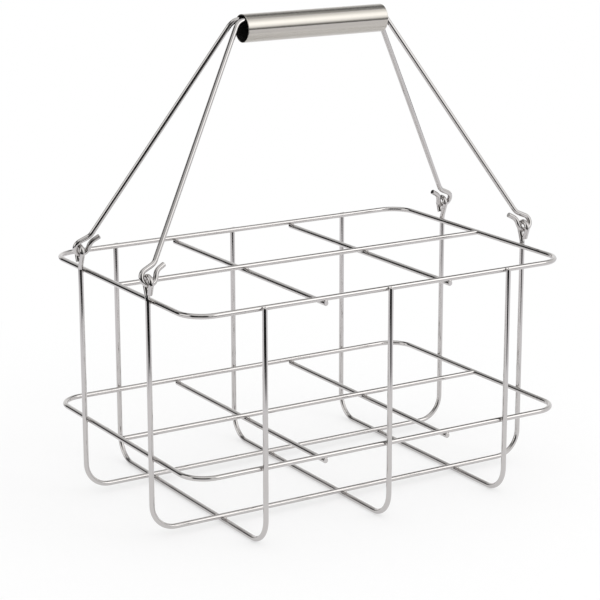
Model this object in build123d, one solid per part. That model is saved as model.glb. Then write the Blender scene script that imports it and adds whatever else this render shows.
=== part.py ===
from build123d import *
import math
import os

# Wire caddy for six bottles with a lift-up handle, in millimetres.
# The origin is on the floor under the middle of the basket. +X runs to the right along the
# long sides, -Y is the front and +Z is up. Sizes of wire shapes are taken on the centre line.

# Wire, welds and play
wire_d = 3.6           # every rod, ring and bail is bent from this round wire
weld_sink = 0.3        # how far two welded wires melt into each other
end_round = 0.4        # rounded edge of a cut wire end
seat_gap = 0.35        # play where a loose piece hangs on its seat

# The two rings round the basket
ring_length = 300.0
ring_width = 206.0
ring_corner_r = 18.0
top_ring_z = 164.4
lower_ring_z = 55.3

# The dividers that make six cells
cross_divider_spacing = 100.0
cross_divider_overhang = 1.5     # ends reach this far past the ring's centre line

# The wires bent to a U under the basket
cross_wire_spacing = 98.0        # from the middle cross wire to each outer one
long_wire_spacing = 100.0
foot_bend_r = 18.0
cross_leg_rise = 0.9             # leg ends stand this far above the top ring's centre line

# The eyes at the tops of the long wires' legs, each in the plane across the basket
eye_play = 0.8                   # how far the hook's wire can lift inside the eye's bend
eye_rise = 12.8                  # middle of the loop above the top ring's centre line
eye_shift = 0.9                  # middle of the loop outward of the leg
lean_rise = 2.6                  # where the leg starts to lean towards the middle
lean_bend_r = 10.0
tail_rise = 5.4                  # end of the loop's tail above the top ring's centre line
tail_gap = 0.2                   # between the tail's end and the leg

# The two bails, measured in their own plane, up from the hinge line through the eyes
bail_height = 167.0              # hinge line to the bar in the grip
bar_length = 115.6               # between the corners where the legs leave the bar
bar_bend_r = 9.0
bar_spread = 7.0                 # between the two bars inside the grip
hook_play = 1.6                  # room between the hook's arms and the eye on each side
kink_in = 5.5                    # where the leg bends into the hook, inward of the eye
kink_rise = 13.5
kink_bend_r = 8.0
flare_in = 6.3                   # where the hook's free end bends away from the eye
flare_rise = 8.6
flare_bend_r = 7.0
tip_in = 12.7                    # the hook's free end
tip_rise = 12.2
bail_shift = 1.2                 # both bails have slid this far to the right in the eyes

# The loose tube round both bars
grip_d = 19.4
grip_wall = 0.8
grip_length = 113.0
grip_shift = 4.6                 # the tube has slid this far to the right on the bars
grip_rim_round = 0.25

# Places that follow from these sizes
weld_pitch = wire_d - weld_sink
cross_wire_z = wire_d / 2
long_wire_z = cross_wire_z + weld_pitch
cross_leg_y = ring_width / 2 + weld_pitch
long_leg_x = ring_length / 2 + weld_pitch
long_leg_y = long_wire_spacing / 2
eye_r = wire_d + eye_play
hook_r = wire_d + hook_play


def round_wire(path, round_ends=True):
    """A length of the round wire along a path, its cut ends eased."""
    section = Plane(origin=path @ 0, z_dir=path % 0) * Circle(wire_d / 2)
    wire = sweep(section, path=path)
    if not round_ends:
        return wire
    ends = [wire.faces().sort_by_distance(path @ end)[0] for end in (0, 1)]
    return fillet([edge for face in ends for edge in face.edges()], end_round)


def touching_point(point, centre, radius, side):
    """Where a straight line from the point touches the circle, to its left (1) or right (-1)."""
    reach = centre - point
    turn = side * math.degrees(math.asin(radius / reach.length))
    return point + reach.rotate(Axis.Z, turn).normalized() * math.sqrt(reach.length**2 - radius**2)


def meeting_point(point_a, along_a, point_b, along_b):
    """Where two straight lines in one plane cross."""
    apart = point_b - point_a
    denominator = along_a.cross(along_b).Z
    return point_a + along_a * (apart.cross(along_b).Z / denominator)


def ring(height):
    """A closed ring with rounded corners, lying level."""
    path = Pos(0, 0, height) * RectangleRounded(ring_length, ring_width, ring_corner_r).wire()
    return round_wire(path, round_ends=False)


def long_divider(height):
    """Rod along the middle, butted between the short sides of the ring."""
    reach = (ring_length - wire_d) / 2 + weld_sink
    return round_wire(Line((-reach, 0, height), (reach, 0, height)), round_ends=False)


def cross_divider(x, height):
    """Rod across the basket, welded under the ring and the long divider."""
    reach = ring_width / 2 + cross_divider_overhang
    z = height - weld_pitch
    return round_wire(Line((x, -reach, z), (x, reach, z)))


def cross_wire(x):
    """U of wire across the basket; it stands on the floor and its legs hold both rings."""
    top = top_ring_z + cross_leg_rise
    points = [
        (x, -cross_leg_y, top),
        (x, -cross_leg_y, cross_wire_z),
        (x, cross_leg_y, cross_wire_z),
        (x, cross_leg_y, top),
    ]
    return round_wire(FilletPolyline(*points, radius=foot_bend_r))


def eye_points():
    """Corners of a leg's top, as (outward distance, height above the top ring)."""
    lean_start = Vector(0, lean_rise)
    middle = Vector(eye_shift, eye_rise)
    lean_end = touching_point(lean_start, middle, eye_r, 1)
    lean = (lean_end - lean_start).normalized()
    lean_side = Vector(lean.Y, -lean.X)
    tail_level = meeting_point(lean_start, lean, Vector(0, tail_rise), Vector(1, 0))
    tail_tip = tail_level + Vector((wire_d + tail_gap) / lean_side.X, 0)
    tail_start = touching_point(tail_tip, middle, eye_r, -1)
    tail = (tail_start - tail_tip).normalized()
    tail_side = Vector(-tail.Y, tail.X)
    stand_off = wire_d + seat_gap
    seat = meeting_point(
        lean_start + lean_side * stand_off, lean, tail_tip + tail_side * stand_off, tail
    )
    return {
        "lean_start": lean_start,
        "lean_end": lean_end,
        "top": middle + Vector(0, eye_r),
        "tail_start": tail_start,
        "tail_tip": tail_tip,
        "seat": seat,
    }


eye = eye_points()
hinge_y = long_leg_y + eye["seat"].X
hinge_z = top_ring_z + eye["seat"].Y
bail_lean = math.degrees(math.asin((hinge_y - bar_spread / 2) / bail_height))
bar_z = hinge_z + bail_height * math.cos(math.radians(bail_lean))
bar_reach = (grip_d - wire_d) / 2 - grip_wall - seat_gap
grip_z = bar_z - math.sqrt(bar_reach**2 - (bar_spread / 2) ** 2)


def long_wire(side):
    """U of wire along the basket with an eye on each leg; side is -1 in front, 1 behind."""

    def place(end, name):
        point = eye[name]
        return (end * long_leg_x, side * (long_leg_y + point.X), top_ring_z + point.Y)

    def loop(end):
        bend = ThreePointArc(place(end, "lean_end"), place(end, "top"), place(end, "tail_start"))
        return [bend, Line(place(end, "tail_start"), place(end, "tail_tip"))]

    y = side * long_leg_y
    frame = FilletPolyline(
        place(-1, "lean_end"),
        place(-1, "lean_start"),
        (-long_leg_x, y, long_wire_z),
        (long_leg_x, y, long_wire_z),
        place(1, "lean_start"),
        place(1, "lean_end"),
        radius=[lean_bend_r, foot_bend_r, foot_bend_r, lean_bend_r],
    )
    return round_wire(Wire([*frame.edges(), *Curve(loop(-1)).edges(), *Curve(loop(1)).edges()]))


def flat_bail():
    """A bail upright in the XZ plane, its hinge line on the X axis and a hook on each end."""
    middle = Vector(long_leg_x, hook_r)
    kink = Vector(long_leg_x - kink_in, kink_rise)
    flare = Vector(long_leg_x - flare_in, flare_rise)
    tip = Vector(long_leg_x - tip_in, tip_rise)
    outer = touching_point(kink, middle, hook_r, 1)
    inner = touching_point(flare, middle, hook_r, -1)

    def place(end, point):
        return (end * point.X, 0, point.Y)

    def hook(end):
        bottom = Vector(long_leg_x, 0)
        bend = ThreePointArc(place(end, outer), place(end, bottom), place(end, inner))
        corners = [place(end, point) for point in (inner, flare, tip)]
        return [*bend.edges(), *FilletPolyline(*corners, radius=flare_bend_r).edges()]

    corner = Vector(bar_length / 2, bail_height)
    legs = FilletPolyline(
        place(-1, outer),
        place(-1, kink),
        place(-1, corner),
        place(1, corner),
        place(1, kink),
        place(1, outer),
        radius=[kink_bend_r, bar_bend_r, bar_bend_r, kink_bend_r],
    )
    return round_wire(Wire([*legs.edges(), *hook(-1), *hook(1)]))


def bail(side):
    """The bail hung in the front (-1) or rear (1) eyes and leaning to the middle."""
    return Pos(bail_shift, side * hinge_y, hinge_z) * Rot(X=side * bail_lean) * flat_bail()


def grip_tube():
    """Plain tube round both bars, hanging on them."""
    outside = Cylinder(grip_d / 2, grip_length)
    bore = Cylinder(grip_d / 2 - grip_wall, grip_length)
    tube = outside - bore
    tube = fillet(tube.edges().filter_by(GeomType.CIRCLE), grip_rim_round)
    return Pos(grip_shift, 0, grip_z) * Rot(Y=90) * tube


def all_pieces():
    """Every piece of the caddy under its own name."""
    pieces = {
        "top_ring": ring(top_ring_z),
        "lower_ring": ring(lower_ring_z),
        "front_long_wire": long_wire(-1),
        "rear_long_wire": long_wire(1),
        "front_bail": bail(-1),
        "rear_bail": bail(1),
        "grip_tube": grip_tube(),
    }
    for level, height in (("top", top_ring_z), ("lower", lower_ring_z)):
        pieces[f"{level}_long_divider"] = long_divider(height)
        for name, side in (("left", -1), ("right", 1)):
            x = side * cross_divider_spacing / 2
            pieces[f"{level}_{name}_cross_divider"] = cross_divider(x, height)
    for name, step in (("left", -1), ("middle", 0), ("right", 1)):
        pieces[f"{name}_cross_wire"] = cross_wire(step * cross_wire_spacing)
    return pieces


os.makedirs("parts", exist_ok=True)
for name, piece in all_pieces().items():
    export_step(piece, f"parts/{name}.step")

print(f"hinge line y {hinge_y:.3f} z {hinge_z:.3f}, bails lean {bail_lean:.3f} degrees")
print(f"bars at y {bar_spread / 2:.3f} z {bar_z:.3f}, grip axis z {grip_z:.3f}")
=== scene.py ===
import bpy
import math
from mathutils import Matrix, Vector


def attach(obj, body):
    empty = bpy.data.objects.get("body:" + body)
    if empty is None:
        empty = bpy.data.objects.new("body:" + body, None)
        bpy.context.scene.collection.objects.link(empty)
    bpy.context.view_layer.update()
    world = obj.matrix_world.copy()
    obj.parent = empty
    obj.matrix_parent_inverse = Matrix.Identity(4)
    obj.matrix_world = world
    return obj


# Wire caddy for bottles on a white studio sweep. Everything is in metres, in the frame of the
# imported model: +X to the right along the grip, -Y to the front, +Z up, the floor at zero.

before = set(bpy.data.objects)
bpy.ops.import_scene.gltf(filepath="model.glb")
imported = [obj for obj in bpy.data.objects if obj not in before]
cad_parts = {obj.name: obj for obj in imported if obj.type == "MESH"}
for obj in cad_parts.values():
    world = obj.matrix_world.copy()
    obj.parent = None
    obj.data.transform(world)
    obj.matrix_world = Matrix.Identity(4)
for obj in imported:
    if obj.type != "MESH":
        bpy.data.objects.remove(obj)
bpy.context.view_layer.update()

MM = 0.001

# Where the wires are welded, on the wires' centre lines
RING_HALF_LENGTH = 150.0 * MM
RING_HALF_WIDTH = 103.0 * MM
RING_HEIGHTS = (164.4 * MM, 55.3 * MM)
CROSS_WIRE_X = (-98.0 * MM, 0.0, 98.0 * MM)
LONG_WIRE_Y = (-50.0 * MM, 50.0 * MM)
DIVIDER_X = (-50.0 * MM, 50.0 * MM)
TO_WELD = 1.65 * MM          # from a wire's centre line to the middle of its weld
BUTT_WELD_X = 148.1 * MM     # where the long dividers end against the rings
FLOOR_WELD_Z = 3.45 * MM     # where the long wires lie on the cross wires

# One weld bead
BEAD_R = 2.0 * MM
BEAD_HALF_HEIGHT = 0.85 * MM
BEAD_WAIST = 0.84            # its sides draw in to this share of the radius
BEAD_LOBE = 0.55 * BEAD_R    # a lobe keeps its reach this far to each side of its diagonal
BEAD_DIMPLE = 0.8            # its middle is pressed down to this share of the height
BEAD_DIMPLE_HALF = 0.3 * BEAD_R      # half the width of the pressed middle

# The grip, as packed
GRIP_AXIS_Z = 330.219 * MM
GRIP_BORE_R = 9.1 * MM       # a little over the bore, so that its whole surface is taken in

# The paper under the caddy, from edge to edge
SWEEP_SIZE = 8.0

# Settings that several nodes share
SMOOTH = {"interpolation_type": "SMOOTHSTEP"}
COLOURS = {"data_type": "RGBA"}
WHITE = (1, 1, 1, 1)


def colour(hex_text):
    """The linear colour of an sRGB hex value, with full alpha."""
    parts = [int(hex_text[i:i + 2], 16) / 255 for i in (1, 3, 5)]
    return [p / 12.92 if p <= 0.04045 else ((p + 0.055) / 1.055) ** 2.4 for p in parts] + [1.0]


def add_node(tree, kind, settings=None, **inputs):
    """A new node with its own settings. Inputs are filled by name, or by number as i0, i1 and so
    on: a socket is linked, a node is linked by its first output, and a value is written."""
    node = tree.nodes.new(kind)
    for name, value in (settings or {}).items():
        setattr(node, name, value)
    for name, value in inputs.items():
        numbered = name[0] == "i" and name[1:].isdigit()
        socket = node.inputs[int(name[1:]) if numbered else name.replace("_", " ")]
        if isinstance(value, bpy.types.Node):
            value = value.outputs[0]
        if isinstance(value, bpy.types.NodeSocket):
            tree.links.new(value, socket)
        else:
            socket.default_value = value
    return node


def new_material(name):
    """An empty node material and its tree."""
    material = bpy.data.materials.new(name)
    material.use_nodes = True
    material.node_tree.nodes.clear()
    return material, material.node_tree


def drawn_steel():
    """Stainless steel wire, drawn through a die and tumbled bright. Its mirror finish is broken by
    a very fine grain and faint dull patches, which the eye reads as a soft edge on every
    reflection."""
    material, tree = new_material("drawn_stainless_wire")
    place = add_node(tree, "ShaderNodeTexCoord").outputs["Object"]
    # Dull patches about 11 mm across, and a grain of about 0.7 mm, drawn coarser than it is
    patches = add_node(tree, "ShaderNodeTexNoise", Vector=place, Scale=90.0, Detail=3.0)
    grain = add_node(tree, "ShaderNodeTexNoise", Vector=place, Scale=1400.0, Detail=2.0)
    rough = add_node(tree, "ShaderNodeMapRange", Value=patches, To_Min=0.04, To_Max=0.1)
    bump = add_node(tree, "ShaderNodeBump", Strength=0.02, Distance=0.0001, Height=grain)
    steel = add_node(
        tree,
        "ShaderNodeBsdfPrincipled",
        Metallic=1.0,
        Base_Color=colour("#C5C2C0"),
        Roughness=rough,
        Normal=bump,
    )
    add_node(tree, "ShaderNodeOutputMaterial", Surface=steel)
    return material


def brushed_steel():
    """Stainless tube brushed round its outside on a belt. The fine rings spread each reflection
    along the tube and keep it narrow across, so the eye sees long straight bands. The bore is
    painted near black: painted shade inside the tube, not a finish of the metal."""
    material, tree = new_material("brushed_stainless_tube")
    place = add_node(tree, "ShaderNodeTexCoord").outputs["Object"]
    # Rings about 0.4 mm apart, drawn coarser than the real 120 grit so that they show
    rings = add_node(tree, "ShaderNodeMapping", Vector=place, Scale=(2400.0, 30.0, 30.0))
    streaks = add_node(tree, "ShaderNodeTexNoise", Vector=rings, Scale=1.0, Detail=4.0)
    rough = add_node(tree, "ShaderNodeMapRange", Value=streaks, To_Min=0.15, To_Max=0.23)
    bump = add_node(tree, "ShaderNodeBump", Strength=0.06, Distance=0.0001, Height=streaks)
    steel = add_node(
        tree,
        "ShaderNodeBsdfPrincipled",
        Metallic=1.0,
        Base_Color=colour("#BEBAB3"),
        Roughness=rough,
        Anisotropic=0.9,
        Tangent=add_node(tree, "ShaderNodeCombineXYZ", X=1.0),
        Normal=bump,
    )
    # Painted shade: the inside of the bore gets a near-black colour where the tube's inside lies
    # in shade
    scale = add_node(tree, "ShaderNodeBsdfPrincipled", Base_Color=colour("#141210"), Roughness=0.7)
    centred = add_node(tree, "ShaderNodeMapping", Vector=place, Location=(0, 0, -GRIP_AXIS_Z))
    flat = add_node(
        tree, "ShaderNodeVectorMath", {"operation": "MULTIPLY"}, i0=centred, i1=(0, 1, 1)
    )
    radius = add_node(tree, "ShaderNodeVectorMath", {"operation": "LENGTH"}, i0=flat)
    inside = add_node(
        tree,
        "ShaderNodeMath",
        {"operation": "LESS_THAN"},
        i0=radius.outputs["Value"],
        i1=GRIP_BORE_R,
    )
    both = add_node(tree, "ShaderNodeMixShader", i0=inside, i1=steel, i2=scale)
    add_node(tree, "ShaderNodeOutputMaterial", Surface=both)
    return material


wire_finish = drawn_steel()
tube_finish = brushed_steel()
for name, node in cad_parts.items():
    for slot in node.material_slots:
        slot.material = tube_finish if name == "grip_tube" else wire_finish


def select_points(piece, chosen):
    """Select only the points of a piece that the test picks, and go on in edit mode."""
    bpy.ops.object.mode_set(mode="EDIT")
    bpy.ops.mesh.select_mode(type="VERT")
    bpy.ops.mesh.select_all(action="DESELECT")
    bpy.ops.object.mode_set(mode="OBJECT")
    for point in piece.data.vertices:
        point.select = chosen(point.co)
    bpy.ops.object.mode_set(mode="EDIT")


def weld_bead():
    """One spot weld between two crossing wires: a flat button of squeezed metal, with a lobe in
    each of the four corners where the wires draw apart and a waist where they press on it."""
    bpy.ops.object.select_all(action="DESELECT")
    bpy.ops.mesh.primitive_uv_sphere_add(segments=16, ring_count=8, radius=BEAD_R)
    bead = bpy.context.object
    bpy.ops.object.mode_set(mode="EDIT")
    bpy.ops.mesh.select_all(action="SELECT")
    bpy.ops.transform.resize(value=(1, 1, BEAD_HALF_HEIGHT / BEAD_R))
    select_points(bead, lambda co: abs(abs(co.x) - abs(co.y)) > BEAD_LOBE)
    bpy.ops.transform.resize(value=(BEAD_WAIST, BEAD_WAIST, 1))
    select_points(bead, lambda co: max(abs(co.x), abs(co.y)) < BEAD_DIMPLE_HALF)
    bpy.ops.transform.resize(value=(1, 1, BEAD_DIMPLE))
    bpy.ops.object.mode_set(mode="OBJECT")
    rounding = bead.modifiers.new("rounding", "SUBSURF")
    rounding.levels = 1
    rounding.render_levels = 1
    bpy.ops.object.modifier_apply(modifier="rounding")
    bpy.ops.object.shade_smooth()
    return bead


def weld_places():
    """The middle of every weld, and the axis along which its two wires lie on each other."""
    places = [(x, y, FLOOR_WELD_Z, "Z") for x in CROSS_WIRE_X for y in LONG_WIRE_Y]
    for height in RING_HEIGHTS:
        places += [(x, 0, height - TO_WELD, "Z") for x in DIVIDER_X]
        for side in (-1, 1):
            long_side = side * RING_HALF_WIDTH
            short_side = side * RING_HALF_LENGTH
            places += [(x, long_side, height - TO_WELD, "Z") for x in DIVIDER_X]
            places += [(x, long_side + side * TO_WELD, height, "Y") for x in CROSS_WIRE_X]
            places += [(short_side + side * TO_WELD, y, height, "X") for y in LONG_WIRE_Y]
            places.append((side * BUTT_WELD_X, 0, height, "X"))
    return places


def weld_beads():
    """A bead on every weld of the basket, joined as one piece."""
    bead = weld_bead()
    turns = {"X": (0, math.pi / 2, 0), "Y": (math.pi / 2, 0, 0), "Z": (0, 0, 0)}
    copies = []
    for x, y, z, axis in weld_places():
        copy = bead.copy()
        copy.data = bead.data.copy()
        copy.location = (x, y, z)
        copy.rotation_euler = turns[axis]
        bpy.context.scene.collection.objects.link(copy)
        copies.append(copy)
    bpy.data.objects.remove(bead)
    bpy.ops.object.select_all(action="DESELECT")
    for copy in copies:
        copy.select_set(True)
    bpy.context.view_layer.objects.active = copies[0]
    bpy.ops.object.join()
    beads = bpy.context.object
    bpy.ops.object.transform_apply(location=True, rotation=True, scale=True)
    beads.name = "weld_beads"
    beads.data.materials.append(wire_finish)
    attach(beads, "base")


weld_beads()


def sweep_paper():
    """Matt white background paper. It shows the soft shadow near the caddy and runs out to the
    white of the background. The metal sees it end at the table's front edge, on the far left and
    at the horizon, where the dark of the room begins. All distances are in metres."""
    material, tree = new_material("matt_white_paper")
    metal_looks = add_node(tree, "ShaderNodeLightPath").outputs["Is Glossy Ray"]
    place = add_node(tree, "ShaderNodeTexCoord").outputs["Object"]
    along = add_node(tree, "ShaderNodeSeparateXYZ", Vector=place)
    x = along.outputs["X"]
    y = along.outputs["Y"]
    far = add_node(tree, "ShaderNodeVectorMath", {"operation": "LENGTH"}, i0=place)
    distance = far.outputs["Value"]

    # Close in, the paper takes the shadow, with 0.45 of plain white mixed in. From 0.22 m to 0.5 m
    # out it turns all plain white. The metal sees that white a little cool
    paper = add_node(tree, "ShaderNodeBsdfDiffuse", Color=colour("#F8F8F8"))
    cool = (0.975, 0.97, 1, 1)
    tint = add_node(tree, "ShaderNodeMix", COLOURS, i0=metal_looks, i6=WHITE, i7=cool)
    white = add_node(tree, "ShaderNodeEmission", Color=tint.outputs[2], Strength=1.0)
    fade = add_node(
        tree,
        "ShaderNodeMapRange",
        SMOOTH,
        Value=distance,
        From_Min=0.22,
        From_Max=0.5,
        To_Min=0.45,
    )
    spread = add_node(tree, "ShaderNodeMixShader", i0=fade, i1=paper, i2=white)

    # Where the metal sees dark instead: past the horizon, and in each part that lies past two
    # edges. An edge is soft, from the first of its distances to the second
    dark_parts = (
        ((y, -0.40, -0.45), (x, 0.2, 0.1)),           # in front of the table
        ((y, -0.17, -0.25), (x, -0.40, -0.46)),       # off its front left corner
        ((distance, 0.7, 0.95), (x, -0.22, -0.34)),   # the dark side of the room
    )
    gone = add_node(
        tree, "ShaderNodeMapRange", SMOOTH, Value=distance, From_Min=2.0, From_Max=2.6
    )
    for edges in dark_parts:
        past = [
            add_node(
                tree, "ShaderNodeMapRange", SMOOTH, Value=value, From_Min=start, From_Max=end
            )
            for value, start, end in edges
        ]
        part = add_node(
            tree, "ShaderNodeMath", {"operation": "MULTIPLY"}, i0=past[0], i1=past[1]
        )
        gone = add_node(tree, "ShaderNodeMath", {"operation": "MAXIMUM"}, i0=gone, i1=part)
    seen_dark = add_node(
        tree, "ShaderNodeMath", {"operation": "MULTIPLY"}, i0=metal_looks, i1=gone
    )
    dark = add_node(tree, "ShaderNodeEmission", Color=WHITE, Strength=0.01)
    sweep = add_node(tree, "ShaderNodeMixShader", i0=seen_dark, i1=spread, i2=dark)
    add_node(tree, "ShaderNodeOutputMaterial", Surface=sweep)
    return material


bpy.ops.object.select_all(action="DESELECT")
bpy.ops.mesh.primitive_plane_add(size=SWEEP_SIZE, location=(0, 0, 0))
floor = bpy.context.object
floor.name = "sweep"
floor.data.materials.append(sweep_paper())

# Brightness of the room by height over the horizon, from 0 level to 1 straight up. Behind: white
# walls that darken to the ceiling's edge, then the pale ceiling. In front on the right: one broad
# soft light with a narrow gap under it.
BACK_LEVELS = (
    (0.0, 1.0), (0.30, 1.0), (0.45, 0.8), (0.64, 0.6), (0.72, 0.08), (0.84, 0.03), (0.865, 0.95)
)
FRONT_LEVELS = (
    (0.0, 0.25), (0.04, 0.25), (0.09, 1.0), (0.3, 1.85), (0.45, 2.3), (0.62, 2.2), (0.86, 0.95)
)
ROOM_STRENGTH = 2.5          # the levels are divided by this and the light multiplied by it
# Greys, which the strength multiplies too, and the way from the caddy to the card
WALL_GREY = (0.38, 0.38, 0.38, 1)
SHADE_GREY = (0.01, 0.01, 0.01, 1)
CARD_GREY = (0.5, 0.5, 0.5, 1)
CARD_WAY = (-0.94, 0.2, 0.28)


def studio_room():
    """The room as the metal sees it, with the dark side of the room on the left and one white card
    in it. The camera and the paper see plain white."""
    world = bpy.data.worlds.new("studio")
    bpy.context.scene.world = world
    world.use_nodes = True
    tree = world.node_tree
    tree.nodes.clear()
    way = add_node(tree, "ShaderNodeTexCoord").outputs["Generated"]
    parts = add_node(tree, "ShaderNodeSeparateXYZ", Vector=way)
    x = parts.outputs["X"]
    y = parts.outputs["Y"]
    z = parts.outputs["Z"]
    from_card = add_node(
        tree, "ShaderNodeVectorMath", {"operation": "DISTANCE"}, i0=way, i1=CARD_WAY
    ).outputs["Value"]

    bands = []
    for levels in (BACK_LEVELS, FRONT_LEVELS):
        ramp = add_node(tree, "ShaderNodeValToRGB", Fac=z)
        elements = ramp.color_ramp.elements
        for place, level in levels[2:]:
            elements.new(place)
        for element, (place, level) in zip(elements, levels):
            element.position = place
            element.color = (*[level / ROOM_STRENGTH] * 3, 1)
        bands.append(ramp)
    back, front = bands

    # Each area comes in softly between two values of the way that the metal looks: of its X, Y or
    # Z, or of how far it is from the card's middle
    areas = {}
    for name, value, start, end in (
        ("far right", x, 0.55, 0.78),
        ("middle", x, 0.36, 0.2),
        ("in front", y, 0.0, -0.12),
        ("left behind", x, -0.14, -0.45),
        ("left in front", x, 0.0, -0.2),
        ("under the ceiling", z, 0.92, 0.42),
        ("card", from_card, 0.5, 0.4),
    ):
        areas[name] = add_node(
            tree, "ShaderNodeMapRange", SMOOTH, Value=value, From_Min=start, From_Max=end
        )
    left = add_node(
        tree,
        "ShaderNodeMix",
        i0=areas["in front"],
        i2=areas["left behind"],
        i3=areas["left in front"],
    )
    dark_side = add_node(
        tree,
        "ShaderNodeMath",
        {"operation": "MULTIPLY"},
        i0=left,
        i1=areas["under the ceiling"],
    )

    # One layer over another: walls beside the soft light, the front over the back, the dark side
    # and its white card
    for area in (areas["far right"], areas["middle"]):
        layer = add_node(tree, "ShaderNodeMix", COLOURS, i0=area, i6=front, i7=WALL_GREY)
        front = layer.outputs[2]
    layer = add_node(tree, "ShaderNodeMix", COLOURS, i0=areas["in front"], i6=back, i7=front)
    room = layer.outputs[2]
    for area, grey in ((dark_side, SHADE_GREY), (areas["card"], CARD_GREY)):
        layer = add_node(tree, "ShaderNodeMix", COLOURS, i0=area, i6=room, i7=grey)
        room = layer.outputs[2]

    seen = add_node(tree, "ShaderNodeBackground", Color=room, Strength=ROOM_STRENGTH)
    plain = add_node(tree, "ShaderNodeBackground", Color=WHITE, Strength=1.0)
    metal_looks = add_node(tree, "ShaderNodeLightPath").outputs["Is Glossy Ray"]
    both = add_node(tree, "ShaderNodeMixShader", i0=metal_looks, i1=plain, i2=seen)
    add_node(tree, "ShaderNodeOutputWorld", Surface=both)


studio_room()

# A wide soft lamp from the front right, aimed at the middle of the basket, gives the floor its
# faint shadow
LAMP_PLACE = Vector((1.2, -1.6, 1.4))
LAMP_TARGET = Vector((0, 0, 0.15))
lamp_data = bpy.data.lights.new("front_lamp", "AREA")
lamp_data.size = 1.2
lamp_data.energy = 8.0
lamp = bpy.data.objects.new("front_lamp", lamp_data)
bpy.context.scene.collection.objects.link(lamp)
lamp.location = LAMP_PLACE
lamp.rotation_mode = "QUATERNION"
lamp.rotation_quaternion = (LAMP_TARGET - LAMP_PLACE).to_track_quat("-Z", "Y")
lamp.visible_camera = False
lamp.visible_glossy = False

# Camera, placed by matching the photographed edges of the basket and bails. Angles in degrees
SENSOR_MM = 36.0
FOCAL_IN_WIDTHS = 2057.44 / 600      # focal length over the picture's width
CAMERA_PLACE = (-0.749529, -1.205794, 0.5097)
CAMERA_YAW = -31.665
CAMERA_PITCH = -14.863
CAMERA_ROLL = -0.056
camera_data = bpy.data.cameras.new("camera")
camera_data.sensor_width = SENSOR_MM
camera_data.lens = FOCAL_IN_WIDTHS * SENSOR_MM
camera_data.clip_start = 0.05
camera_data.clip_end = 50.0
camera = bpy.data.objects.new("camera", camera_data)
bpy.context.scene.collection.objects.link(camera)
camera.location = CAMERA_PLACE
turn = Matrix.Rotation(math.radians(CAMERA_YAW), 3, "Z")
tip = Matrix.Rotation(math.radians(90 + CAMERA_PITCH), 3, "X")
roll = Matrix.Rotation(math.radians(CAMERA_ROLL), 3, "Z")
camera.rotation_mode = "QUATERNION"
camera.rotation_quaternion = (turn @ tip @ roll).to_quaternion()
bpy.context.scene.camera = camera
bpy.context.scene.view_settings.view_transform = "Standard"
